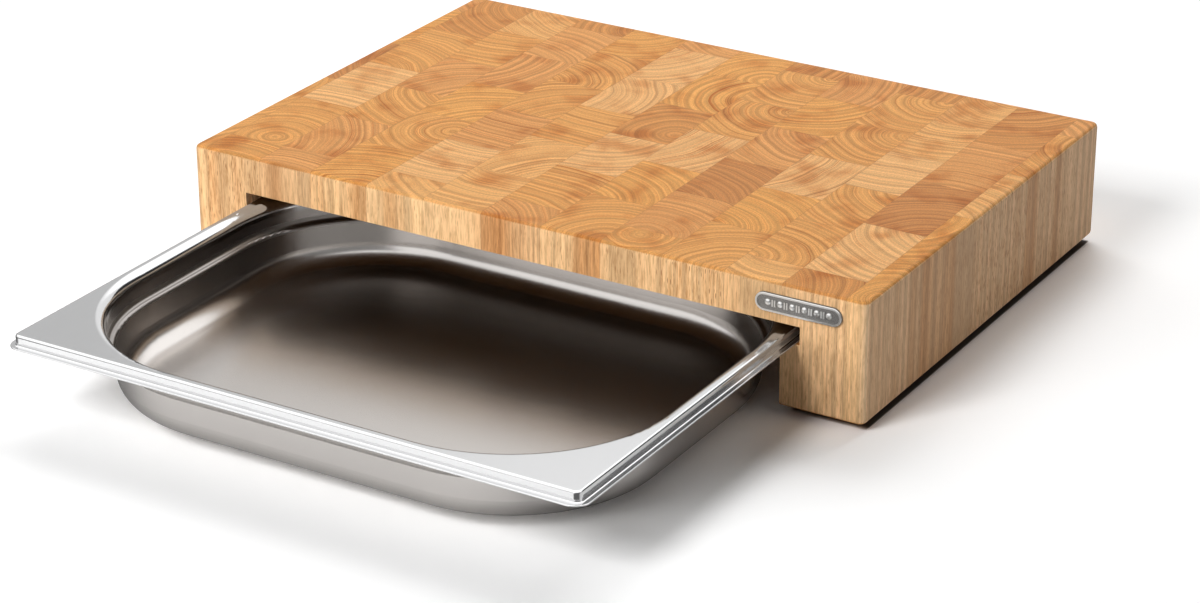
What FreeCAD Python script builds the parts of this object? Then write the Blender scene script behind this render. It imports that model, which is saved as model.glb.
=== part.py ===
import FreeCAD, Part
import math
import os

from FreeCAD import Vector

# A chopping block with a stainless container under it.
# The block is glued up from upright end-grain blocks of rubberwood. It is milled from below into
# a slab on two legs, and a groove in each leg carries the rim of the container like a drawer.
# Units are millimetres. +X is to the right along the front, +Y runs to the back, +Z is up.
# The origin lies on the table, in the middle of the block and the container drawn out of it.

# ---- the wooden block ----
block_width = 398.0
block_depth = 275.0
block_height = 65.0
slab_thickness = 20.5
top_edge_radius = 2.6
upright_edge_radius = 4.0
bottom_edge_radius = 2.5

# Glued strips run from front to back. The two outer ones on each side make the legs.
outer_strip_width_left = 8.5
outer_strip_width_right = 11.5
leg_strip_width = 34.5
side_strip_width_left = 32.5
side_strip_width_right = 31.5
middle_strip_width = 35.0
middle_strip_count = 7

# Each strip is a row of blocks, and its cross joints are staggered against its neighbours'.
slab_block_length = 52.0
leg_block_length = 64.0
first_joint_even_strip = 23.0
first_joint_odd_strip = 50.0
first_joint_leg = 22.5
first_joint_outer = 54.5

# ---- the grooves that carry the container ----
groove_span = 329.0
groove_centre_x = -1.0
groove_height = 9.5
groove_stop_thickness = 7.5

# ---- the container ----
tray_length_x = 325.0
tray_length_y = 265.0
tray_depth = 40.0
sheet = 0.8
rim_height = 6.35
lip_reach = 3.3
lip_corner_radius = 8.0
lip_edge_radius = 0.35
skirt_corner_radius = 3.5
rim_edge_radius = 1.2
lip_root_radius = 0.9
opening_length_x = 302.8
opening_length_y = 243.1
opening_corner_radius = 82.0
shoulder_radius = 5.0
stacking_step_depth = 13.5
stacking_step_radius = 1.5
wall_draft_degrees = 3.0
floor_radius = 12.2
tray_reach = 198.0
rim_play_below = 0.1

# ---- rubber feet and their fixings ----
foot_height = 4.0
foot_top_radius = 9.0
foot_bottom_radius = 7.5
foot_bottom_rounding = 0.6
foot_hole_radius = 2.1
foot_counterbore_radius = 5.5
foot_counterbore_depth = 2.4
foot_centre_x = 172.0
foot_inset_y = 34.0
washer_outer_radius = 5.2
washer_hole_radius = 2.0
washer_thickness = 0.6
screw_crest_radius = 1.75
screw_core_radius = 1.2
screw_pitch = 1.5
screw_thread_count = 7
screw_plain_length = 3.0
screw_tip_length = 2.5
screw_head_radius = 3.4
screw_head_height = 1.4
screw_head_rounding = 0.5
driver_slot_length = 4.0
driver_slot_width = 0.9
driver_slot_depth = 0.8

# ---- the cast badge ----
badge_length = 46.7
badge_height = 9.6
badge_thickness = 1.6
badge_centre_x = 162.8
badge_centre_above_underside = 54.4
badge_border = 1.1
badge_recess = 0.6
badge_edge_rounding = 0.4
badge_pin_radius = 1.0
badge_pin_length = 5.0
badge_pin_spacing = 30.0
bead_count = 6
bead_radius = 1.8
bead_rise = 0.8
bead_spacing = 6.6
reel_width = 0.8
reel_height = 3.6
reel_offset = 0.65
reel_rise = 0.5
ornament_root = 0.4

# ---- worked out from the sizes above ----
total_length = tray_reach + block_depth
front_y = total_length / 2 - block_depth
back_y = front_y + block_depth
underside_z = foot_height
top_z = underside_z + block_height
slab_underside_z = top_z - slab_thickness
ledge_z = slab_underside_z - groove_height
tray_centre_x = groove_centre_x
tray_centre_y = front_y - tray_reach + tray_length_y / 2
rim_top_z = ledge_z + rim_play_below + rim_height

up = Vector(0, 0, 1)
origin = Vector(0, 0, 0)


def box_between(low, high):
    """A box from its low corner to its high corner."""
    return Part.makeBox(high[0] - low[0], high[1] - low[1], high[2] - low[2], Vector(*low))


def joined(shapes):
    """One solid from touching shapes, without the seams between them."""
    return shapes[0].multiFuse(shapes[1:]).removeSplitter()


def save(node, shape):
    """Writes one piece, after a test that it is closed and sound."""
    solids = shape.Solids
    assert solids, node
    assert all(solid.isValid() and solid.Volume > 0 for solid in solids), node
    shape.exportStep("parts/" + node + ".step")


def upright_edges(shape):
    """The edges of a shape that stand straight up."""
    return [edge for edge in shape.Edges if edge.BoundBox.XLength + edge.BoundBox.YLength < 0.01]


def edges_at_height(shape, z):
    """The edges of a shape that lie flat at one height."""
    return [
        edge
        for edge in shape.Edges
        if abs(edge.BoundBox.ZMin - z) < 0.001 and abs(edge.BoundBox.ZMax - z) < 0.001
    ]


# ---- the wood: strips of blocks ----


def strip_list():
    """Name, width, first cross joint and block length of each strip, from left to right."""
    strips = [
        ("strip_outer_left", outer_strip_width_left, first_joint_outer, leg_block_length),
        ("strip_leg_left", leg_strip_width, first_joint_leg, leg_block_length),
        ("strip_side_left", side_strip_width_left, first_joint_even_strip, slab_block_length),
    ]
    for number in range(1, middle_strip_count + 1):
        first_joint = first_joint_odd_strip if number % 2 else first_joint_even_strip
        name = "strip_middle_" + str(number)
        strips.append((name, middle_strip_width, first_joint, slab_block_length))
    strips += [
        ("strip_side_right", side_strip_width_right, first_joint_even_strip, slab_block_length),
        ("strip_leg_right", leg_strip_width, first_joint_leg, leg_block_length),
        ("strip_outer_right", outer_strip_width_right, first_joint_outer, leg_block_length),
    ]
    return strips


def leg_inner_faces(strips):
    """The x of each leg's inner face: the joint between its leg strip and the slab."""
    left = -block_width / 2 + sum(width for _, width, _, _ in strips[:2])
    right = block_width / 2 - sum(width for _, width, _, _ in strips[-2:])
    return left, right


def foot_centres():
    """Name and centre of each foot on the wood's underside."""
    places = []
    for end, y in (("front", front_y + foot_inset_y), ("back", back_y - foot_inset_y)):
        for side, x in (("left", -foot_centre_x), ("right", foot_centre_x)):
            places.append((end + "_" + side, Vector(x, y, underside_z)))
    return places


def badge_pin_places():
    """Where the badge's two pins enter the front face."""
    z = underside_z + badge_centre_above_underside
    return [
        Vector(badge_centre_x + side * badge_pin_spacing / 2, front_y, z) for side in (-1, 1)
    ]


def milled_block(strips):
    """The whole glued block: rounded, with its recess, grooves and pilot holes."""
    half_width = block_width / 2
    body = box_between((-half_width, front_y, underside_z), (half_width, back_y, top_z))
    body = body.makeFillet(upright_edge_radius, upright_edges(body))
    body = body.makeFillet(top_edge_radius, edges_at_height(body, top_z))
    body = body.makeFillet(bottom_edge_radius, edges_at_height(body, underside_z))

    past = 1.0
    left, right = leg_inner_faces(strips)
    recess = box_between(
        (left, front_y - past, underside_z - past), (right, back_y + past, slab_underside_z)
    )
    grooves = box_between(
        (groove_centre_x - groove_span / 2, front_y - past, ledge_z),
        (groove_centre_x + groove_span / 2, back_y - groove_stop_thickness, slab_underside_z),
    )
    cutters = [recess, grooves]
    thread_length = screw_plain_length + screw_thread_count * screw_pitch + screw_tip_length
    pilot_depth = thread_length - (foot_height - foot_counterbore_depth)
    for _, place in foot_centres():
        cutters.append(Part.makeCylinder(screw_crest_radius, pilot_depth, place, up))
    for place in badge_pin_places():
        cutters.append(
            Part.makeCylinder(badge_pin_radius, badge_pin_length, place, Vector(0, 1, 0))
        )
    return body.cut(cutters)


def make_strips():
    """Cuts the milled block along its glue lines, one node to a strip, one solid to a block."""
    strips = strip_list()
    body = milled_block(strips)
    past = 1.0
    low_x = -block_width / 2
    for name, width, first_joint, block_length in strips:
        high_x = low_x + width
        joints = []
        joint = first_joint
        while joint < block_depth:
            joints.append(front_y + joint)
            joint += block_length
        starts = [front_y - past] + joints
        ends = joints + [back_y + past]
        low = low_x - past if low_x == -block_width / 2 else low_x
        high = high_x + past if name == strips[-1][0] else high_x
        blocks = []
        for start, end in zip(starts, ends):
            slice_box = box_between((low, start, underside_z - past), (high, end, top_z + past))
            blocks += body.common(slice_box).Solids
        save(name, Part.makeCompound(blocks))
        low_x = high_x


# ---- the container ----


def rounded_prism(half_x, half_y, corner_radius, low_z, high_z):
    """A plate with rounded corners, centred on the container's axis."""
    prism = box_between((-half_x, -half_y, low_z), (half_x, half_y, high_z))
    return prism.makeFillet(corner_radius, upright_edges(prism))


def bend(centre, radius, start, end):
    """A round bend about a centre, from one unit direction to another."""
    middle = (start + end).normalize()
    return Part.Arc(
        centre + radius * start, centre + radius * middle, centre + radius * end
    ).toShape()


def basin_outline(grow):
    """Half section of the basin, grown outwards by grow, with r from a corner's axis as x.

    From the rim's level it goes over the rounded shoulder, down the drafted upper wall, in over
    the stacking step, down the lower wall and round the floor radius to the corner's axis.
    """
    draft = math.radians(wall_draft_degrees)
    outwards = Vector(math.cos(draft), 0, -math.sin(draft))
    down_the_wall = Vector(-math.sin(draft), 0, -math.cos(draft))

    # Centres of the four bends. They don't move when the outline grows.
    shoulder_x = opening_corner_radius + shoulder_radius
    shoulder_centre = Vector(shoulder_x, 0, -shoulder_radius)
    shoulder_and_step = shoulder_radius + stacking_step_radius
    step_drop = stacking_step_depth - shoulder_radius + shoulder_and_step * math.sin(draft)
    upper_run = step_drop / math.cos(draft)
    step_high_centre = shoulder_centre - shoulder_and_step * outwards + upper_run * down_the_wall
    step_low_centre = step_high_centre - 2 * stacking_step_radius * up
    step_and_floor = stacking_step_radius + floor_radius
    floor_centre_z = floor_radius - (tray_depth - sheet)
    floor_drop = step_low_centre.z - floor_centre_z + step_and_floor * math.sin(draft)
    lower_run = floor_drop / math.cos(draft)
    floor_centre = step_low_centre - step_and_floor * outwards + lower_run * down_the_wall

    shoulder = bend(shoulder_centre, shoulder_radius - grow, up, -outwards)
    step_high = bend(step_high_centre, stacking_step_radius + grow, outwards, -up)
    step_low = bend(step_low_centre, stacking_step_radius - grow, up, -outwards)
    floor = bend(floor_centre, floor_radius + grow, outwards, -up)

    floor_edge = floor_centre - (floor_radius + grow) * up
    corners = [
        floor_edge,
        Vector(0, 0, floor_edge.z),
        Vector(0, 0, 0),
        Vector(shoulder_x, 0, 0),
        Vector(shoulder_x, 0, -grow),
    ]
    upper_wall_start = shoulder_centre - (shoulder_radius - grow) * outwards
    upper_wall_end = step_high_centre + (stacking_step_radius + grow) * outwards
    lower_wall_start = step_low_centre - (stacking_step_radius - grow) * outwards
    lower_wall_end = floor_centre + (floor_radius + grow) * outwards
    straights = list(zip(corners[:-1], corners[1:]))
    straights.append((upper_wall_start, upper_wall_end))
    straights.append((lower_wall_start, lower_wall_end))
    lines = [Part.makeLine(start, end) for start, end in straights if start != end]
    edges = Part.sortEdges([shoulder, step_high, step_low, floor] + lines)[0]
    return Part.Face(Part.Wire(edges)), floor_edge.z


def basin_plug(grow):
    """The space of the basin as a solid, with the sheet's thickness added when grow is sheet."""
    outline, low_z = basin_outline(grow)
    half_x = opening_length_x / 2 - opening_corner_radius
    half_y = opening_length_y / 2 - opening_corner_radius
    pieces = [box_between((-half_x, -half_y, low_z), (half_x, half_y, 0))]
    corners = [(1, 1), (-1, 1), (-1, -1), (1, -1)]
    for quarter, (side_x, side_y) in enumerate(corners):
        corner = Vector(side_x * half_x, side_y * half_y, 0)
        section = outline.copy()
        section.rotate(origin, up, 90 * quarter)
        section.translate(corner)
        pieces.append(section.revolve(corner, up, 90))
        next_x, next_y = corners[(quarter + 1) % 4]
        section.rotate(corner, up, 90)
        pieces.append(section.extrude(Vector(next_x * half_x, next_y * half_y, 0) - corner))
    return joined(pieces)


def make_tray():
    """The pressed container: flat rim, turned-down skirt with a lip, and the basin."""
    skirt_x = tray_length_x / 2 - lip_reach
    skirt_y = tray_length_y / 2 - lip_reach
    cap = rounded_prism(skirt_x, skirt_y, skirt_corner_radius, -rim_height, 0)
    cap = cap.makeFillet(rim_edge_radius, edges_at_height(cap, 0))
    lip = rounded_prism(
        tray_length_x / 2, tray_length_y / 2, lip_corner_radius, -rim_height, sheet - rim_height
    )
    rounded_edges = edges_at_height(lip, -rim_height) + edges_at_height(lip, sheet - rim_height)
    lip = lip.makeFillet(lip_edge_radius, rounded_edges)
    outer_rim = joined([cap, lip])
    lip_root = [
        seam
        for seam in edges_at_height(outer_rim, sheet - rim_height)
        if seam.BoundBox.XMax < skirt_x + lip_root_radius
        and seam.BoundBox.YMax < skirt_y + lip_root_radius
        and seam.BoundBox.XMin > -skirt_x - lip_root_radius
        and seam.BoundBox.YMin > -skirt_y - lip_root_radius
    ]
    outer_rim = outer_rim.makeFillet(lip_root_radius, lip_root)
    hollow = rounded_prism(
        skirt_x - sheet, skirt_y - sheet, skirt_corner_radius - sheet, -rim_height - 1, -sheet
    )
    rim = outer_rim.cut(hollow)
    tray = joined([rim, basin_plug(sheet)]).cut(basin_plug(0))
    tray.translate(Vector(tray_centre_x, tray_centre_y, rim_top_z))
    save("tray", tray)


# ---- feet, washers and screws ----


def make_feet():
    """Four turned rubber feet, each with a counterbored hole for its screw."""
    for name, place in foot_centres():
        floor_place = Vector(place.x, place.y, 0)
        foot = Part.makeCone(foot_bottom_radius, foot_top_radius, foot_height, floor_place, up)
        foot = foot.makeFillet(foot_bottom_rounding, edges_at_height(foot, 0))
        hole = Part.makeCylinder(foot_hole_radius, foot_height, floor_place, up)
        counterbore = Part.makeCylinder(
            foot_counterbore_radius, foot_counterbore_depth, floor_place, up
        )
        save("foot_" + name, foot.cut([hole, counterbore]))


def make_washers():
    """A steel washer in the bottom of each foot's counterbore."""
    washers = []
    for _, place in foot_centres():
        seat = Vector(place.x, place.y, foot_counterbore_depth - washer_thickness)
        ring = Part.makeCylinder(washer_outer_radius, washer_thickness, seat, up)
        hole = Part.makeCylinder(washer_hole_radius, washer_thickness, seat, up)
        washers.append(ring.cut(hole))
    save("foot_washers", Part.makeCompound(washers))


def screw_shape():
    """A pan-head wood screw, point up, with its head's seat at the origin."""
    outline = [
        Vector(0, 0, 0),
        Vector(screw_crest_radius, 0, 0),
        Vector(screw_crest_radius, 0, screw_plain_length),
    ]
    z = screw_plain_length
    for _ in range(screw_thread_count):
        outline.append(Vector(screw_core_radius, 0, z + screw_pitch * 0.25))
        outline.append(Vector(screw_core_radius, 0, z + screw_pitch * 0.5))
        outline.append(Vector(screw_crest_radius, 0, z + screw_pitch))
        z += screw_pitch
    outline.append(Vector(0, 0, z + screw_tip_length))
    outline.append(Vector(0, 0, 0))
    shank = Part.Face(Part.makePolygon(outline)).revolve(origin, up, 360)
    head = Part.makeCylinder(
        screw_head_radius, screw_head_height, Vector(0, 0, -screw_head_height), up
    )
    head = head.makeFillet(screw_head_rounding, edges_at_height(head, -screw_head_height))
    slots = []
    for length, width in (
        (driver_slot_length, driver_slot_width),
        (driver_slot_width, driver_slot_length),
    ):
        low = (-length / 2, -width / 2, -screw_head_height)
        slots.append(box_between(low, (length / 2, width / 2, driver_slot_depth + low[2])))
    return joined([shank, head]).cut(slots)


def make_screws():
    """One screw up through each foot into the leg above it."""
    screws = []
    for _, place in foot_centres():
        screw = screw_shape()
        screw.translate(Vector(place.x, place.y, foot_counterbore_depth - washer_thickness))
        screws.append(screw)
    save("foot_screws", Part.makeCompound(screws))


# ---- the badge ----


def stadium(length, height, low_y, high_y):
    """A flat bar with round ends, lying along X and thick along Y."""
    half_run = (length - height) / 2
    depth = high_y - low_y
    along = Vector(0, 1, 0)
    bar = box_between((-half_run, low_y, -height / 2), (half_run, high_y, height / 2))
    ends = [
        Part.makeCylinder(height / 2, depth, Vector(side * half_run, low_y, 0), along)
        for side in (-1, 1)
    ]
    return joined([bar] + ends)


def edges_at_y(shape, y):
    """The edges of a shape that lie in one plane facing the front."""
    return [
        edge
        for edge in shape.Edges
        if abs(edge.BoundBox.YMin - y) < 0.001 and abs(edge.BoundBox.YMax - y) < 0.001
    ]


def make_badge():
    """A cast plate with a raised border, a bead-and-reel ornament and two pins behind."""
    face_y = -badge_thickness
    ground_y = face_y + badge_recess
    plate = stadium(badge_length, badge_height, face_y, 0)
    plate = plate.makeFillet(badge_edge_rounding, edges_at_y(plate, face_y))
    well = stadium(
        badge_length - 2 * badge_border, badge_height - 2 * badge_border, face_y, ground_y
    )
    plate = plate.cut(well)

    ball_radius = (bead_radius**2 + bead_rise**2) / (2 * bead_rise)
    front_half = box_between(
        (-badge_length / 2, ground_y - bead_rise, -badge_height / 2),
        (badge_length / 2, ground_y + ornament_root, badge_height / 2),
    )
    ornament = []
    first_bead = -(bead_count - 1) * bead_spacing / 2
    for number in range(bead_count):
        x = first_bead + number * bead_spacing
        ball = Part.makeSphere(ball_radius, Vector(x, ground_y - bead_rise + ball_radius, 0))
        ornament.append(ball.common(front_half))
        if number + 1 == bead_count:
            break
        for side in (-1, 1):
            middle = x + bead_spacing / 2 + side * reel_offset
            low = (middle - reel_width / 2, ground_y - reel_rise, -reel_height / 2)
            high = (middle + reel_width / 2, ground_y + ornament_root, reel_height / 2)
            ornament.append(box_between(low, high))
    pins = [
        Part.makeCylinder(
            badge_pin_radius,
            badge_pin_length,
            Vector(side * badge_pin_spacing / 2, 0, 0),
            Vector(0, 1, 0),
        )
        for side in (-1, 1)
    ]
    badge = joined([plate] + ornament + pins)
    badge.translate(Vector(badge_centre_x, front_y, underside_z + badge_centre_above_underside))
    save("badge", badge)


os.makedirs("parts", exist_ok=True)
make_strips()
make_tray()
make_feet()
make_washers()
make_screws()
make_badge()
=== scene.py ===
import math

import bmesh
import bpy
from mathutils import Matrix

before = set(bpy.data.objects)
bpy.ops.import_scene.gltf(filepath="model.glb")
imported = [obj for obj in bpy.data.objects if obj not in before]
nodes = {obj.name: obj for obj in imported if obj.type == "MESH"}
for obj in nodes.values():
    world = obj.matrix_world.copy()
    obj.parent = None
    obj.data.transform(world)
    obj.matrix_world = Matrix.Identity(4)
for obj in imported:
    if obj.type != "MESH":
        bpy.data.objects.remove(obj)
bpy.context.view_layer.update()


# The camera: a long lens on a stand, a little above the block and to the right of its front,
# turned down towards the tray.
camera_data = bpy.data.cameras.new("studio_camera")
camera_data.sensor_width = 36.0
camera_data.lens = 99.95
camera_data.clip_end = 50.0
camera = bpy.data.objects.new("studio_camera", camera_data)
camera.location = (0.82923, -1.32816, 0.72059)
camera.rotation_euler = (math.radians(65.558), math.radians(0.109), math.radians(31.038))
bpy.context.scene.collection.objects.link(camera)
bpy.context.scene.camera = camera


# The chopping block: thirteen strips of upright rubberwood blocks, glued side by side so that the
# end grain is the cutting face. Sawn, planed flush, sanded and oiled; each block came from its own
# part of a trunk, so its rings have their own centre and its wood its own tone.
front_y = -38.5
back_y = 236.5
slab_block = 52.0
leg_block = 64.0
pith_reach = 400.0
widest_ring = 10.0

untinted = (1, 1, 1, 1)
pale_front = (0.87, 0.62, 0.36, 1)
# Painted light: the left and right faces are paler than the front.
side_painted_lighter = (0.94, 0.70, 0.45, 1)
late_wood_tint = (0.59, 0.365, 0.225, 1)
stain_tint = (0.73, 0.56, 0.42, 1)
streak_tint = (0.80, 0.64, 0.46, 1)
pore_tone = (0.30, 0.13, 0.05, 1)
glue_tone = (0.30, 0.13, 0.05, 1)
# Painted reflection: the wood's colours as the steel mirrors it, greyer upright and painted shade
# underneath.
upright_painted_dim_in_steel = (0.32, 0.27, 0.22, 1)
underneath_painted_shade_in_steel = (0.07, 0.035, 0.015, 1)

timbers = {
    "cream": (0.825, 0.462, 0.192),
    "straw": (0.800, 0.428, 0.160),
    "amber": (0.755, 0.370, 0.112),
    "honey": (0.740, 0.365, 0.118),
    "rose": (0.710, 0.342, 0.120),
    "brown": (0.630, 0.288, 0.092),
    "umber": (0.555, 0.242, 0.080),
}

# Each strip: left and right edge, first cross joint behind the front, length of its blocks, and
# then its blocks from front to back: timber, ring centre right of and behind the block's middle,
# ring width, and how strongly the rings show.
cut_list = {
    "strip_outer_left": (-199.0, -190.5, 54.5, leg_block, [
        ("honey", 30, -20, 3.0, 0.5),
        ("honey", -40, 10, 3.4, 0.5),
        ("umber", 60, 30, 4.0, 0.4),
        ("amber", 25, -50, 3.0, 0.6),
        ("rose", 30, 25, 3.0, 0.5),
    ]),
    "strip_leg_left": (-190.5, -156.0, 22.5, leg_block, [
        ("honey", 5, -48, 3.4, 0.8),
        ("honey", 5, -24, 2.6, 0.7),
        ("cream", 6, -95, 3.6, 0.35),
        ("honey", -14, -46, 3.2, 0.75),
        ("brown", 28, 34, 3.2, 0.6),
    ]),
    "strip_side_left": (-156.0, -123.5, 23.0, slab_block, [
        ("rose", 4, -55, 3.4, 0.6),
        ("rose", -62, -34, 3.6, 0.6),
        ("honey", 28, 41, 2.5, 0.8),
        ("rose", 34, -32, 4.6, 0.6),
        ("honey", -6, 55, 3.2, 0.7),
        ("straw", 26, 44, 3.0, 0.6),
    ]),
    "strip_middle_1": (-123.5, -88.5, 50.0, slab_block, [
        ("amber", 22, -62, 6.5, 0.7),
        ("honey", 15, 9, 2.6, 0.8),
        ("amber", 34, -44, 6.0, 0.35),
        ("rose", -52, 12, 3.2, 0.8),
        ("rose", -22, -60, 4.0, 0.3),
        ("brown", 30, 10, 3.2, 0.5),
    ]),
    "strip_middle_2": (-88.5, -53.5, 23.0, slab_block, [
        ("straw", 30, 40, 4.2, 0.25),
        ("cream", 4, 80, 3.0, 0.4),
        ("rose", 10, 110, 4.2, 0.75),
        ("honey", 28, -28, 3.4, 0.9),
        ("honey", -22, -30, 2.8, 1.0),
        ("amber", -20, 26, 4.2, 0.7),
    ]),
    "strip_middle_3": (-53.5, -18.5, 50.0, slab_block, [
        ("straw", 8, 84, 4.2, 0.6),
        ("straw", 36, -32, 3.4, 0.75),
        ("honey", 10, 120, 6.0, 0.35),
        ("cream", -48, -16, 4.0, 0.6),
        ("cream", -42, 30, 4.6, 0.55),
        ("rose", 20, 40, 4.0, 0.3),
    ]),
    "strip_middle_4": (-18.5, 16.5, 23.0, slab_block, [
        ("rose", -32, -30, 3.6, 0.6),
        ("honey", -12, -72, 3.6, 1.0),
        ("cream", -17, 26, 3.8, 0.7),
        ("brown", 14, -12, 3.2, 0.35),
        ("amber", 36, 6, 8.5, 0.8),
        ("amber", 17, -16, 3.4, 0.4),
    ]),
    "strip_middle_5": (16.5, 51.5, 50.0, slab_block, [
        ("honey", 19, -24, 3.6, 0.6),
        ("amber", -21, -36, 4.2, 0.7),
        ("cream", -72, 22, 3.8, 0.85),
        ("honey", 17, 22, 2.8, 0.85),
        ("honey", 12, 26, 3.6, 0.6),
        ("brown", -80, 2, 3.6, 0.9),
    ]),
    "strip_middle_6": (51.5, 86.5, 23.0, slab_block, [
        ("honey", -4, 5, 2.6, 0.8),
        ("rose", -4, -31, 3.2, 0.85),
        ("umber", -22, -46, 3.4, 0.55),
        ("rose", 22, 36, 2.4, 0.7),
        ("amber", -26, 36, 4.0, 0.7),
        ("rose", -62, -12, 3.4, 0.9),
    ]),
    "strip_middle_7": (86.5, 121.5, 50.0, slab_block, [
        ("honey", 21, -26, 3.6, 0.6),
        ("amber", -20, -34, 4.2, 0.7),
        ("cream", -76, 16, 3.8, 0.85),
        ("honey", 18, 23, 2.8, 0.9),
        ("honey", 13, 25, 3.6, 0.6),
        ("brown", -84, -4, 3.6, 0.9),
    ]),
    "strip_side_right": (121.5, 153.0, 23.0, slab_block, [
        ("straw", 8, 50, 3.6, 0.45),
        ("honey", -15, -27, 2.6, 0.75),
        ("honey", 27, 36, 3.0, 0.65),
        ("cream", -10, 95, 5.0, 0.4),
        ("straw", -4, 42, 3.4, 0.6),
        ("straw", 12, 30, 3.2, 0.35),
    ]),
    "strip_leg_right": (153.0, 187.5, 22.5, leg_block, [
        ("brown", -52, -24, 3.4, 0.8),
        ("cream", 27, 42, 3.4, 0.6),
        ("umber", 22, -42, 4.4, 0.35),
        ("rose", 5, -62, 3.2, 0.7),
        ("brown", -34, 52, 3.2, 0.8),
    ]),
    "strip_outer_right": (187.5, 199.0, 54.5, leg_block, [
        ("amber", 14, -18, 2.4, 0.8),
        ("amber", -30, 20, 3.0, 0.6),
        ("straw", -12, -40, 3.0, 0.7),
        ("honey", 32, 26, 2.8, 0.8),
        ("rose", -28, -30, 2.8, 0.6),
    ]),
}


def add(tree, kind, inputs=(), **settings):
    """Adds a shader node, with its inputs taken from other nodes' outputs or from plain values."""
    node = tree.nodes.new("ShaderNode" + kind)
    for name, value in settings.items():
        setattr(node, name, value)
    for name, value in dict(inputs).items():
        if isinstance(value, bpy.types.NodeSocket):
            tree.links.new(value, node.inputs[name])
        else:
            node.inputs[name].default_value = value
    return node


def reckon(tree, operation, first, second=0.0, third=0.0):
    """One step of arithmetic on numbers that change over the surface."""
    return add(tree, "Math", {0: first, 1: second, 2: third}, operation=operation).outputs[0]


def soft_step(tree, value, low, high, low_gives=0.0, high_gives=1.0):
    """Eases from one number to another as a value goes from low to high."""
    inputs = {0: value, 1: low, 2: high, 3: low_gives, 4: high_gives}
    return add(tree, "MapRange", inputs, interpolation_type="SMOOTHSTEP").outputs[0]


def blended(tree, amount, first, second):
    """A colour part of the way from the first to the second."""
    inputs = {0: amount, 6: first, 7: second}
    return add(tree, "Mix", inputs, data_type="RGBA").outputs[2]


def tinted(tree, colour, amount, tint):
    """A colour with some of a tint laid over it."""
    inputs = {0: colour, 1: blended(tree, amount, untinted, tint)}
    return add(tree, "VectorMath", inputs, operation="MULTIPLY").outputs[0]


def place_in_mm(tree):
    """Where each point of a piece lies, in millimetres."""
    inputs = {0: add(tree, "TexCoord").outputs["Object"], "Scale": 1000.0}
    return add(tree, "VectorMath", inputs, operation="SCALE").outputs[0]


def split(tree, vector):
    """The three parts of a place or a direction."""
    return add(tree, "SeparateXYZ", {0: vector}).outputs


def mottle(tree, vector, scale, detail, **more):
    """Soft random patches over a surface."""
    inputs = {"Vector": vector, "Scale": scale, "Detail": detail, **more}
    return add(tree, "TexNoise", inputs).outputs[0]


def waver(tree, value, scale, seed):
    """A smooth random change along one value, different for each seed."""
    value = reckon(tree, "ADD", reckon(tree, "MULTIPLY", value, scale), seed)
    return add(tree, "TexNoise", {"W": value}, noise_dimensions="1D").outputs[0]


def chance(tree, seed):
    """One random number for each seed."""
    return add(tree, "TexWhiteNoise", {"W": seed}, noise_dimensions="1D").outputs[0]


def seen_in_metal(tree):
    """Is 1 where the surface is seen as a reflection, and 0 where it is seen directly."""
    return add(tree, "LightPath").outputs["Is Glossy Ray"]


def new_finish(name, **shader_values):
    """A new material with the plain values of its shader set: (material, node tree, shader)."""
    material = bpy.data.materials.new(name)
    material.use_nodes = True
    shader = material.node_tree.nodes["Principled BSDF"]
    for socket, value in shader_values.items():
        shader.inputs[socket.replace("_", " ")].default_value = value
    return material, material.node_tree, shader


def lay_on(tree, shader, colour, roughness):
    """Gives a shader the colour and roughness that were worked out for it."""
    tree.links.new(colour, shader.inputs["Base Color"])
    tree.links.new(roughness, shader.inputs["Roughness"])


def roughen(tree, shader, height, strength, depth):
    """Gives a shader a fine relief, with its depth in metres."""
    inputs = {"Height": height, "Strength": strength, "Distance": depth}
    tree.links.new(add(tree, "Bump", inputs).outputs[0], shader.inputs["Normal"])


def dress(piece, material):
    """Gives a piece one material all over."""
    piece.data.materials.clear()
    piece.data.materials.append(material)


def per_block(tree, which, values):
    """Looks up four numbers for each block of a strip by its place in the strip, from 0 to 1."""
    ramp = add(tree, "ValToRGB", {0: which})
    ramp.color_ramp.interpolation = "CONSTANT"
    stops = ramp.color_ramp.elements
    for place, numbers in enumerate(values):
        at = place / len(values)
        stop = stops[place] if place < 2 else stops.new(at)
        stop.position = at
        stop.color = numbers
    return ramp.outputs


def choose_rings(tree, which, left, right, first, block_length, blocks):
    """Each block's pith, ring width and strength, and its tone, along one strip."""
    middle_x = (left + right) / 2
    rings, tones = [], []
    for place_in_strip, (timber, aside, behind, ring_width, strength) in enumerate(blocks):
        block_front = max(front_y, first + (place_in_strip - 1) * block_length)
        block_back = min(back_y, first + place_in_strip * block_length)
        pith_x = (middle_x + aside) / pith_reach / 2 + 0.5
        pith_y = ((block_front + block_back) / 2 + behind) / pith_reach / 2 + 0.5
        rings.append((pith_x, pith_y, ring_width / widest_ring, strength))
        tones.append((*timbers[timber], 1.0))
    ring_numbers, strength = per_block(tree, which, rings)
    tone = per_block(tree, which, tones)[0]
    pith_x, pith_y, ring_width = add(tree, "SeparateColor", {0: ring_numbers}).outputs
    pith_x = reckon(tree, "MULTIPLY_ADD", pith_x, 2 * pith_reach, -pith_reach)
    pith_y = reckon(tree, "MULTIPLY_ADD", pith_y, 2 * pith_reach, -pith_reach)
    width_mm = reckon(tree, "MULTIPLY", ring_width, widest_ring)
    return pith_x, pith_y, width_mm, strength, tone


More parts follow.
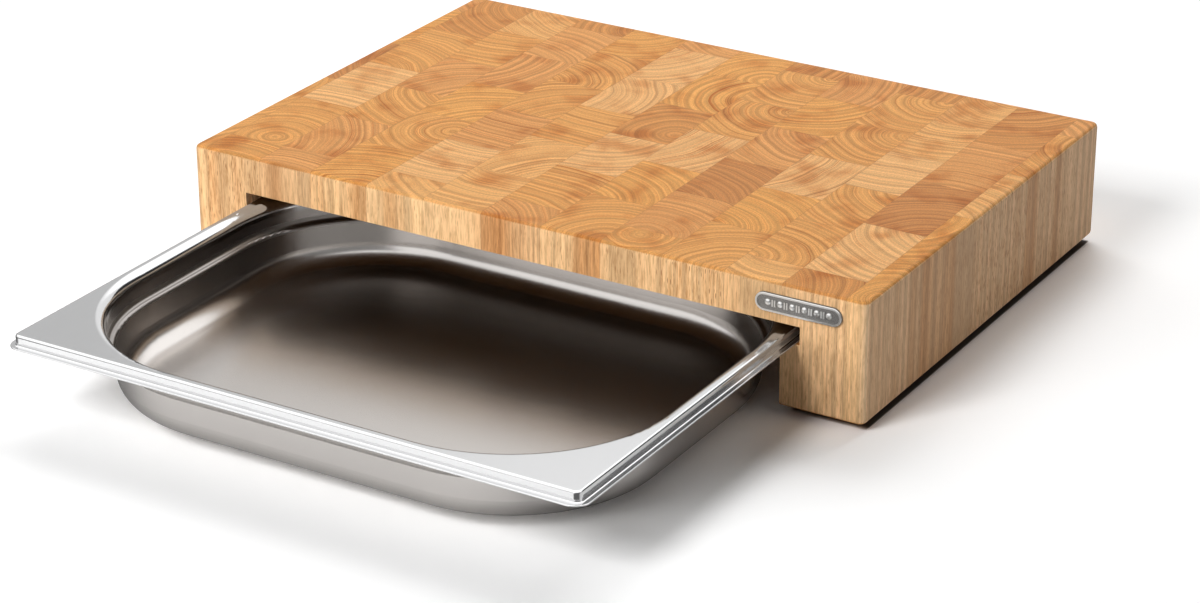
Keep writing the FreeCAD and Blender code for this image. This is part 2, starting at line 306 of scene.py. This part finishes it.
def distance_from_pith(tree, x, y, z, pith_x, pith_y):
    """How far out in its trunk the wood grew; the trunk is a little out of round."""
    away_x = reckon(tree, "SUBTRACT", x, pith_x)
    away_y = reckon(tree, "SUBTRACT", y, pith_y)
    from_pith = add(tree, "CombineXYZ", {0: away_x, 1: away_y}).outputs[0]
    along_trunk = reckon(tree, "MULTIPLY", z, 0.04)
    in_trunk = add(tree, "CombineXYZ", {0: away_x, 1: away_y, 2: along_trunk}).outputs[0]
    radius = add(tree, "VectorMath", {0: from_pith}, operation="LENGTH").outputs[1]
    out_of_round = reckon(tree, "MULTIPLY", mottle(tree, in_trunk, 0.022, 2.0), 9.0)
    return reckon(tree, "ADD", radius, out_of_round)


def late_wood_at(tree, radius, width_mm, strength, seed):
    """The darker wood at the end of each year's growth: a broad shade, then a thin line."""
    spread = reckon(tree, "MULTIPLY", waver(tree, radius, 0.12, seed), 8.0)
    ring = reckon(tree, "DIVIDE", reckon(tree, "ADD", radius, spread), width_mm)
    across = reckon(tree, "FRACT", ring)
    year = chance(tree, reckon(tree, "ADD", reckon(tree, "FLOOR", ring), seed))
    thin_line = soft_step(tree, across, 0.82, 0.93)
    broad_band = soft_step(tree, across, 0.25, 0.9, 0.0, 0.34)
    line_strength = soft_step(tree, year, 0.2, 0.9)
    late_wood = reckon(tree, "MULTIPLY_ADD", thin_line, line_strength, broad_band)
    next_ring = soft_step(tree, across, 0.94, 1.0, 1.0, 0.0)
    late_wood = reckon(tree, "MULTIPLY", late_wood, next_ring)
    return reckon(tree, "MULTIPLY", late_wood, strength)


def open_pores(tree, mm):
    """The pores: dots on the end grain, dashes on the upright faces."""
    pore_at = add(tree, "VectorMath", {0: mm, 1: (1.15, 1.15, 0.16)}, operation="MULTIPLY")
    pores = add(tree, "TexVoronoi", {"Vector": pore_at.outputs[0], "Scale": 1.0})
    pore = soft_step(tree, pores.outputs["Distance"], 0.14, 0.34, 1.0, 0.0)
    is_open = add(tree, "SeparateColor", {0: pores.outputs["Color"]}).outputs[0]
    return reckon(tree, "MULTIPLY", pore, soft_step(tree, is_open, 0.35, 0.6))


def glue_lines(tree, x, along, block_length, left, right):
    """The hair lines of glue round each block."""
    from_joint = reckon(tree, "FRACT", reckon(tree, "ADD", along, 0.5))
    to_joint = reckon(tree, "ABSOLUTE", reckon(tree, "SUBTRACT", from_joint, 0.5))
    to_joint = reckon(tree, "MULTIPLY", to_joint, block_length)
    to_left = reckon(tree, "ABSOLUTE", reckon(tree, "SUBTRACT", x, left))
    to_right = reckon(tree, "ABSOLUTE", reckon(tree, "SUBTRACT", x, right))
    to_side = reckon(tree, "MINIMUM", to_left, to_right)
    return soft_step(tree, reckon(tree, "MINIMUM", to_joint, to_side), 0.05, 0.30, 0.40, 0.0)


def oiled_wood(strip, left, right, first_joint, block_length, blocks):
    """The wood of one strip: rings and pores that run upright right through each block."""
    material, tree, shader = new_finish(strip + "_wood", IOR=1.45, Specular_IOR_Level=0.2)
    mm = place_in_mm(tree)
    x, y, z = split(tree, mm)
    first = front_y + first_joint
    along = reckon(tree, "DIVIDE", reckon(tree, "SUBTRACT", y, first), block_length)
    number = reckon(tree, "ADD", reckon(tree, "FLOOR", along), 1.5)
    which = reckon(tree, "DIVIDE", number, float(len(blocks)))
    seed = reckon(tree, "ADD", reckon(tree, "MULTIPLY", number, 31.7), left * 3.1)
    calm = chance(tree, seed)
    pith_x, pith_y, width_mm, strength, tone = choose_rings(
        tree, which, left, right, first, block_length, blocks)
    radius = distance_from_pith(tree, x, y, z, pith_x, pith_y)
    late_wood = late_wood_at(tree, radius, width_mm, strength, seed)

    # End grain soaks up the oil and goes darker; the upright faces stay pale. The faces to the
    # left and right are painted paler than the front: painted light on the side that lies in
    # shade.
    normal_x, _, normal_z = split(tree, add(tree, "TexCoord").outputs["Normal"])
    end_grain = soft_step(tree, reckon(tree, "ABSOLUTE", normal_z), 0.40, 0.65)
    outer_side = reckon(tree, "ABSOLUTE", normal_x)
    pale = blended(tree, outer_side, pale_front, side_painted_lighter)
    paleness_with_painted_side_light = soft_step(tree, outer_side, 0.0, 1.0, 0.6, 0.8)
    tone = blended(tree, end_grain, blended(tree, paleness_with_painted_side_light, tone, pale), tone)

    # The tone drifts over a block, and the fibre shows as streaks on the upright faces and as a
    # fine speckle on the end grain.
    light = soft_step(tree, waver(tree, radius, 0.07, seed), 0.28, 0.72, 0.78, 1.14)
    fibre_at = add(tree, "VectorMath", {0: mm, 1: (1.0, 1.0, 0.08)}, operation="MULTIPLY")
    fibre = mottle(tree, fibre_at.outputs[0], 1.1, 4.0, Roughness=0.7)
    light = reckon(tree, "MULTIPLY", light, soft_step(tree, fibre, 0.3, 0.68, 0.80, 1.12))
    colour = add(tree, "VectorMath", {0: tone, "Scale": light}, operation="SCALE").outputs[0]
    streak = soft_step(tree, fibre, 0.56, 0.30)
    streak = reckon(tree, "MULTIPLY", streak, soft_step(tree, calm, 0.0, 1.0, 0.35, 0.9))
    streak = reckon(tree, "MULTIPLY", streak, soft_step(tree, end_grain, 0.0, 1.0, 1.0, 0.0))
    colour = tinted(tree, colour, streak, streak_tint)

    # Over that lie the rings, here and there a darker stain, the pores and the glue.
    ring_shows = soft_step(tree, end_grain, 0.0, 1.0, 0.3, 1.0)
    ring_shows = reckon(tree, "MULTIPLY", late_wood, ring_shows)
    colour = tinted(tree, colour, ring_shows, late_wood_tint)
    stain_y = reckon(tree, "ADD", y, reckon(tree, "MULTIPLY", number, 90.0))
    stain_at = add(tree, "CombineXYZ", {0: x, 1: stain_y, 2: left}).outputs[0]
    stain = soft_step(tree, mottle(tree, stain_at, 0.045, 2.0), 0.46, 0.78)
    colour = tinted(tree, colour, stain, stain_tint)
    pore = open_pores(tree, mm)
    pore_depth = soft_step(tree, calm, 0.0, 1.0, 0.40, 0.95)
    pore_depth = soft_step(tree, end_grain, 0.0, 1.0, pore_depth, 0.42)
    pore_depth = reckon(tree, "MULTIPLY", pore, pore_depth)
    colour = blended(tree, pore_depth, colour, pore_tone)
    glue = glue_lines(tree, x, along, block_length, left, right)
    colour = blended(tree, glue, colour, glue_tone)

    # Painted reflection: seen in the steel, the wood is painted greyer on its upright faces and
    # almost black underneath, as painted shade.
    underneath = soft_step(tree, normal_z, -0.2, -0.6)
    in_steel = blended(tree, underneath, upright_painted_dim_in_steel, underneath_painted_shade_in_steel)
    reflected = reckon(tree, "MULTIPLY", seen_in_metal(tree), 0.9)
    colour = blended(tree, reflected, colour, in_steel)

    lay_on(tree, shader, colour, soft_step(tree, fibre, 0.3, 0.7, 0.46, 0.6))
    height = reckon(tree, "SUBTRACT", reckon(tree, "MULTIPLY", fibre, 0.5), pore)
    roughen(tree, shader, height, 0.25, 0.00008)
    return material


for strip, cut in cut_list.items():
    dress(nodes[strip], oiled_wood(strip, *cut))


# The tray: one pressing of stainless sheet, satin inside and out, with a brighter rim that the
# wood keeps rubbed and a rougher stacking step, painted darker: painted shade that dims its
# highlight. It hangs by its lip in the grooves of the two legs. Its back wall is painted darker
# where the steel mirrors it: painted shade in its reflection.
basin_tone = (0.64, 0.61, 0.585, 1)
rim_tone = (0.78, 0.78, 0.785, 1)
step_painted_shade_tone = (0.40, 0.375, 0.355, 1)
back_wall_painted_dark_in_steel = (0.26, 0.235, 0.215, 1)
basin_roughness = 0.225
rim_roughness = 0.13
step_roughness = 0.34

steel, tree, shader = new_finish("satin_steel", Metallic=1.0)
mm = place_in_mm(tree)
_, behind_front, height = split(tree, mm)
on_rim = soft_step(tree, height, 38.0, 38.9)
on_step = reckon(tree, "MULTIPLY", soft_step(tree, height, 28.2, 29.2),
                 soft_step(tree, height, 34.0, 33.0))
colour = blended(tree, on_rim, basin_tone, rim_tone)
# Painted shade: the stacking step is coloured darker, which dims its highlight.
colour = blended(tree, on_step, colour, step_painted_shade_tone)
# Painted shade: the back wall is coloured darker where the steel mirrors it.
back_wall = soft_step(tree, behind_front, -30.0, 5.0)
back_wall = reckon(tree, "MULTIPLY", back_wall, seen_in_metal(tree))
colour = blended(tree, back_wall, colour, back_wall_painted_dark_in_steel)
rough = soft_step(tree, on_step, 0.0, 1.0, basin_roughness, step_roughness)
rough = soft_step(tree, on_rim, 0.0, 1.0, rough, rim_roughness)
cloud = soft_step(tree, mottle(tree, mm, 0.02, 3.0), 0.3, 0.7, -0.008, 0.008)
grain = soft_step(tree, mottle(tree, mm, 0.5, 2.0), 0.3, 0.7, -0.012, 0.012)
rough = reckon(tree, "ADD", reckon(tree, "ADD", rough, cloud), grain)
lay_on(tree, shader, colour, rough)
dress(nodes["tray"], steel)


# The badge: a cast plate on two pins, nickel coloured, with a raised border and a row of beads and
# reels in its sunk field, which has gone darker than the rubbed high parts.
rubbed_nickel = (0.88, 0.87, 0.85, 1)
dull_nickel = (0.26, 0.25, 0.24, 1)

cast, tree, shader = new_finish("cast_badge", Metallic=1.0)
mm = place_in_mm(tree)
sunk = soft_step(tree, split(tree, mm)[1], front_y - 1.5, front_y - 1.0)
speck = mottle(tree, mm, 2.2, 3.0)
tarnish = reckon(tree, "MULTIPLY", sunk, soft_step(tree, speck, 0.25, 0.75, 0.7, 1.0))
colour = blended(tree, tarnish, rubbed_nickel, dull_nickel)
lay_on(tree, shader, colour, soft_step(tree, tarnish, 0.0, 1.0, 0.29, 0.5))
roughen(tree, shader, speck, 0.3, 0.0001)
dress(nodes["badge"], cast)


# The four feet: round black rubber mouldings with a hole for the screw. Each is screwed under a
# leg of the block, set in from its corner, and has a little dust on it.
clean_rubber = (0.012, 0.012, 0.012, 1)
dusty_rubber = (0.045, 0.043, 0.041, 1)

rubber, tree, shader = new_finish("foot_rubber", Specular_IOR_Level=0.3)
dust = mottle(tree, place_in_mm(tree), 0.8, 4.0)
colour = blended(tree, dust, clean_rubber, dusty_rubber)
lay_on(tree, shader, colour, soft_step(tree, dust, 0.3, 0.7, 0.62, 0.85))
roughen(tree, shader, dust, 0.3, 0.0001)
for foot in ("foot_front_left", "foot_front_right", "foot_back_left", "foot_back_right"):
    dress(nodes[foot], rubber)


# The screws and washers that hold the feet: upset and rolled from steel wire, and stamped from
# sheet, then bright zinc plated, with a faint bloom on the zinc.
fresh_zinc = (0.52, 0.53, 0.55, 1)
bloomed_zinc = (0.70, 0.70, 0.68, 1)

zinc, tree, shader = new_finish("bright_zinc", Metallic=1.0)
bloom = mottle(tree, place_in_mm(tree), 0.9, 3.0)
colour = blended(tree, bloom, fresh_zinc, bloomed_zinc)
lay_on(tree, shader, colour, soft_step(tree, bloom, 0.3, 0.7, 0.29, 0.42))
for fastener in ("foot_washers", "foot_screws"):
    dress(nodes[fastener], zinc)


# The studio's floor: white paper that keeps the shadows near the object and goes to plain white
# further out. The metal sees it white straight ahead of the tray; further aside it is painted
# black for the metal only, a painted dark reflection, and under and beside the object painted
# darker, a painted shade in the metal. Right under the two legs the paper carries a painted
# shadow, however it is seen.
floor_radius = 8.0
dark_reflection_middle_x = -0.045
dark_reflection_level = 0.12
painted_shadow_level = 0.1

floor_mesh = bpy.data.meshes.new("studio_floor")
sweep = bmesh.new()
bmesh.ops.create_circle(sweep, cap_ends=True, segments=64, radius=floor_radius)
sweep.to_mesh(floor_mesh)
sweep.free()
floor = bpy.data.objects.new("studio_floor", floor_mesh)
bpy.context.scene.collection.objects.link(floor)

paper = new_finish("white_paper")[0]
tree = paper.node_tree
ray = add(tree, "LightPath").outputs
place = add(tree, "TexCoord").outputs["Object"]
x, y, _ = split(tree, place)

# Painted reflection: for the metal only, the paper is painted black to the sides and painted
# darker, as shade, under and beside the object.
aside = reckon(tree, "ABSOLUTE", reckon(tree, "SUBTRACT", x, dark_reflection_middle_x))
to_the_sides = soft_step(tree, y, -0.27, -0.23, 1.0, soft_step(tree, x, 0.0, 0.1, 1.0, 0.45))
painted_shade_under_object = soft_step(tree, y, -0.27, -0.20, 0.0, 0.7)
painted_dark_reflection = soft_step(tree, aside, 0.17, 0.20, painted_shade_under_object, to_the_sides)
first_bounce = reckon(tree, "LESS_THAN", ray["Ray Depth"], 1.5)
first_bounce = reckon(tree, "MULTIPLY", ray["Is Glossy Ray"], first_bounce)
painted_dark_reflection = reckon(tree, "MULTIPLY", painted_dark_reflection, first_bounce)

# Painted shadow: the paper is darkened right under the two legs, seen from anywhere.
to_middle = reckon(tree, "ABSOLUTE", x)
under_leg = reckon(tree, "MULTIPLY", soft_step(tree, to_middle, 0.153, 0.158),
                   soft_step(tree, to_middle, 0.199, 0.197))
under_leg = reckon(tree, "MULTIPLY", under_leg, soft_step(tree, y, -0.037, -0.027))
under_leg = reckon(tree, "MULTIPLY", under_leg, soft_step(tree, y, 0.236, 0.232))

paper_level = reckon(tree, "MULTIPLY", soft_step(tree, painted_dark_reflection, 0.0, 1.0, 1.0, dark_reflection_level),
                     soft_step(tree, under_leg, 0.0, 1.0, 1.0, painted_shadow_level))
seen = reckon(tree, "MAXIMUM", ray["Is Camera Ray"], ray["Is Glossy Ray"])
white = reckon(tree, "MULTIPLY", paper_level, soft_step(tree, seen, 0.0, 1.0, 0.9, 1.12))
white = add(tree, "CombineColor", {0: white, 1: white, 2: white}).outputs[0]
matt = add(tree, "BsdfDiffuse", {"Color": white}).outputs[0]
glow = add(tree, "Emission", {"Color": untinted, "Strength": paper_level}).outputs[0]
from_object = add(tree, "VectorMath", {0: place}, operation="LENGTH").outputs[1]
far_out = reckon(tree, "MULTIPLY", soft_step(tree, from_object, 0.36, 0.72), seen)
top_side = add(tree, "MixShader", {0: far_out, 1: matt, 2: glow}).outputs[0]
from_below = add(tree, "NewGeometry").outputs["Backfacing"]
from_below = reckon(tree, "MULTIPLY", from_below, ray["Is Camera Ray"])
clear = add(tree, "BsdfTransparent").outputs[0]
both_sides = add(tree, "MixShader", {0: from_below, 1: top_side, 2: clear}).outputs[0]
tree.links.new(both_sides, tree.nodes["Material Output"].inputs["Surface"])
dress(floor, paper)


# The studio's room: plain white to the camera and almost no light of its own on the object. The
# metal sees walls of several greys in it, a bright screen in front and a softbox overhead.
screen_level = 1.3
softbox_level = 1.5
front_wall = 0.28
light_on_object = 0.02


def part_way(tree, amount, first, second):
    """A number part of the way from the first to the second."""
    return add(tree, "Mix", {0: amount, 2: first, 3: second}).outputs[0]


room = bpy.data.worlds.new("white_room")
bpy.context.scene.world = room
room.use_nodes = True
tree = room.node_tree
ray = add(tree, "LightPath").outputs
to_right, to_back, upward = split(tree, add(tree, "TexCoord").outputs["Generated"])
wall = soft_step(tree, to_right, -0.60, -0.46, 0.58, 0.92)
wall = part_way(tree, soft_step(tree, to_back, 0.2, -0.2), wall, front_wall)
screen = reckon(tree, "MULTIPLY", to_right, -0.5)
screen = reckon(tree, "MULTIPLY_ADD", to_back, -0.86, screen)
screen = reckon(tree, "MULTIPLY", soft_step(tree, screen, 0.58, 0.74),
                soft_step(tree, upward, 0.24, 0.36, 1.0, 0.85))
wall = part_way(tree, screen, wall, screen_level)
right_back = reckon(tree, "MULTIPLY", soft_step(tree, to_right, 0.05, 0.25),
                    soft_step(tree, to_back, 0.3, 0.6))
horizon = soft_step(tree, right_back, 0.0, 1.0, 0.08, 0.50)
horizon = reckon(tree, "SUBTRACT", upward, horizon)
wall = reckon(tree, "MULTIPLY", wall, soft_step(tree, horizon, -0.02, 0.03, 0.04, 1.0))
wall = part_way(tree, soft_step(tree, upward, 0.46, 0.56), wall, softbox_level)
level = part_way(tree, ray["Is Glossy Ray"], light_on_object, wall)
level = part_way(tree, ray["Is Camera Ray"], level, 1.0)
background = tree.nodes["Background"]
background.inputs["Color"].default_value = untinted
tree.links.new(level, background.inputs["Strength"])


# The studio's lamps: soft square ones on stands round the object, all aimed at it. They are kept
# out of the metal, which sees the room's screen and softbox instead.
soft_lamps = {
    "front_softbox": ((-0.42, -1.66, 1.50), 0.8, 31.0),
    "low_left_softbox": ((-0.90, -1.90, 0.50), 0.8, 20.0),
    "back_softbox": ((0.05, 1.40, 1.40), 1.2, 16.0),
    "back_left_softbox": ((-0.90, 1.10, 1.50), 1.2, 15.0),
    "low_right_softbox": ((1.50, 0.10, 0.24), 0.5, 2.7),
}
for name, (stands_at, width, power) in soft_lamps.items():
    lamp = bpy.data.lights.new(name, "AREA")
    lamp.shape = "SQUARE"
    lamp.size = width
    lamp.energy = power
    stand = bpy.data.objects.new(name, lamp)
    stand.location = stands_at
    aim = floor.location - stand.location
    stand.rotation_euler = aim.to_track_quat("-Z", "Y").to_euler()
    stand.visible_glossy = False
    bpy.context.scene.collection.objects.link(stand)

bpy.context.scene.view_settings.view_transform = "Standard"
